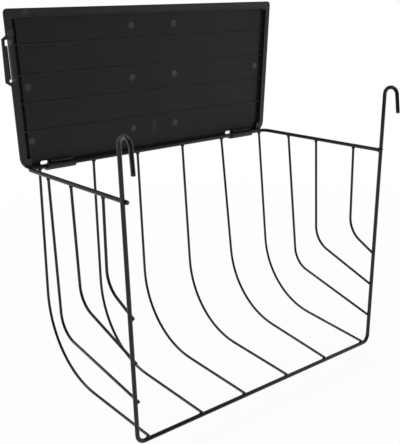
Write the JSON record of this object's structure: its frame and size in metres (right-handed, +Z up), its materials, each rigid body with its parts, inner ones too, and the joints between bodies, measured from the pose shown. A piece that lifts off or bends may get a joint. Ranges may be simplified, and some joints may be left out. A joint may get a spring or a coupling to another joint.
{
  "type": "hay rack with lid",
  "caption": "Hanging wire hay rack for small pets, with two hooks over the cage's bars, curved ribs the hay is pulled through, and a hinged plastic lid that snaps on to the back wire.",
  "frame": {"origin": "midway between the undersides of the two hook bends, where the rack hangs on the cage", "axes": "X along the rack, Y from the open hook side back to the hinge wire, Z up"},
  "size_m": [0.2634, 0.1451, 0.2756],
  "materials": {
    "wire": "gloss black coating",
    "lid": "satin black, as moulded"
  },
  "bodies": {
    "rack": {"hanging_frame": "wire", "rim": "wire", "main_rib_1": "wire", "main_rib_2": "wire", "main_rib_3": "wire", "main_rib_4": "wire", "main_rib_5": "wire", "main_rib_6": "wire", "side_rib_left_1": "wire", "side_rib_left_2": "wire", "side_rib_left_3": "wire", "side_rib_right_1": "wire", "side_rib_right_2": "wire", "side_rib_right_3": "wire"},
    "lid": {"lid": "lid"}
  },
  "joints": [
    {"name": "lid_hinge", "type": "hinge", "parent": "rack", "child": "lid", "pos_m": [0, 0.1278, -0.0435], "axis": [1, 0, 0], "range_deg": [-20, 90]}
  ]
}
